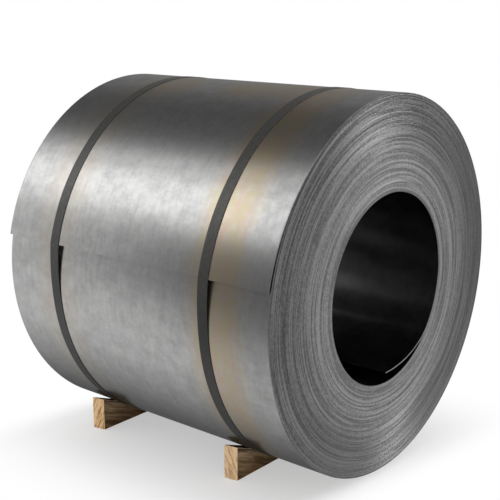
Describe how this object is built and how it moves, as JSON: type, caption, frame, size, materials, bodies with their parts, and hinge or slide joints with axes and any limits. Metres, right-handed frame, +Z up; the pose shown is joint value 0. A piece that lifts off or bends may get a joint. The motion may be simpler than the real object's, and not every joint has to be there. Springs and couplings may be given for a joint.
{
  "type": "steel coil",
  "caption": "Coil of steel strip wound round a clear bore, held by flat steel straps and lying on sawn wooden wedge chocks.",
  "frame": {"origin": "on the floor under the middle of the coil, at the bottom centre of the whole object's box", "axes": "+X along the coil's axis towards its near end, +Z up, -Y to the front, where the strip's tail ends"},
  "size_m": [0.905, 1.0009, 1.0265],
  "materials": {
    "strip_steel": "bare rolled steel with faint straw and blue tints",
    "strap_steel": "dark blued steel strapping",
    "chock_wood": "sawn softwood"
  },
  "bodies": {
    "root": {"steel_coil": "strip_steel", "strap_far": "strap_steel", "strap_near": "strap_steel", "seal_far": "strap_steel", "seal_near": "strap_steel", "chock_front_far": "chock_wood", "chock_front_near": "chock_wood", "chock_back_far": "chock_wood", "chock_back_near": "chock_wood"}
  },
  "joints": []
}
